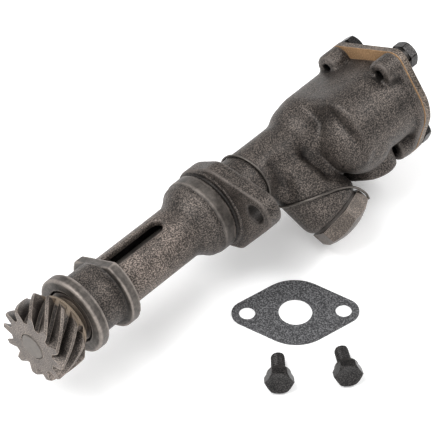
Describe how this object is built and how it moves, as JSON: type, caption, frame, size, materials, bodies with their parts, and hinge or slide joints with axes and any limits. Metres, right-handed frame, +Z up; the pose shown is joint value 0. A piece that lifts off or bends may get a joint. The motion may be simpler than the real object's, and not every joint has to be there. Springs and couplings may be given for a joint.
{
  "type": "engine oil pump",
  "caption": "Gear-type engine oil pump driven by a helical camshaft gear, with a flanged spindle housing, relief valve, cover, and the loose pickup gasket and bolts",
  "frame": {"origin": "on the pump axis, in the middle of the machined pilot band beside the hold-down flange", "axes": "+X along the pump axis from the drive gear to the cover, +Z up with the pump lying on its side as in the picture, -Y towards the viewer"},
  "size_m": [0.2136, 0.1122, 0.0754],
  "materials": {
    "cast_housing": "as-cast brown-grey iron, faintly sooty, rough",
    "cast_cover": "flat cast plate, brown-grey",
    "cover_paper": "tan gasket paper, edge visible",
    "bolt_steel": "dark phosphated steel",
    "washer_steel": "dark spring steel",
    "shaft_steel": "ground steel, oiled",
    "gear_iron": "grey-tan phosphated gear iron",
    "pin_steel": "plain steel",
    "bearing_bronze": "dull bearing bronze",
    "pump_gear_steel": "machined steel, oiled",
    "valve_steel": "ground steel",
    "spring_steel": "oil-tempered wire",
    "plug_steel": "brownish-grey plated steel, dull",
    "plug_washer": "black composition gasket",
    "wire_steel": "dull annealed wire",
    "kit_gasket": "charcoal speckled gasket sheet"
  },
  "bodies": {
    "housing": {"pump_body": "cast_housing", "pump_cover": "cast_cover", "cover_gasket": "cover_paper", "cover_bolts": "bolt_steel", "cover_lock_washers": "washer_steel", "nose_bushing": "bearing_bronze", "chamber_bushing": "bearing_bronze", "idler_shaft": "shaft_steel", "relief_valve_plug": "plug_steel", "relief_plug_gasket": "plug_washer", "relief_valve_spring": "spring_steel", "lock_wire": "wire_steel", "pickup_gasket": "kit_gasket", "pickup_bolts": "bolt_steel", "pickup_lock_washers": "washer_steel"},
    "drive_train": {"drive_shaft": "shaft_steel", "cam_drive_gear": "gear_iron", "cam_gear_pin": "pin_steel", "thrust_washer": "pin_steel", "driver_pump_gear": "pump_gear_steel", "pump_gear_key": "pin_steel"},
    "idler": {"idler_pump_gear": "pump_gear_steel"},
    "relief_plunger": {"relief_valve_plunger": "valve_steel"}
  },
  "joints": [
    {"name": "shaft_spin", "type": "hinge", "parent": "housing", "child": "drive_train", "pos_m": [0, 0, 0], "axis": [1, 0, 0], "continuous": true},
    {"name": "idler_spin", "type": "hinge", "parent": "housing", "child": "idler", "pos_m": [0.0861, -0.01833, 0.01058], "axis": [1, 0, 0], "continuous": true},
    {"name": "relief_valve_slide", "type": "slide", "parent": "housing", "child": "relief_plunger", "axis": [0.2402, -0.7981, -0.5526], "range_m": [0, 0.004], "stiffness_N_per_m": 2000, "springref_m": -0.002, "deforming": ["relief_valve_spring"]}
  ],
  "couplings": [
    {"joint": "idler_spin", "follows": "shaft_spin", "ratio": -1}
  ]
}
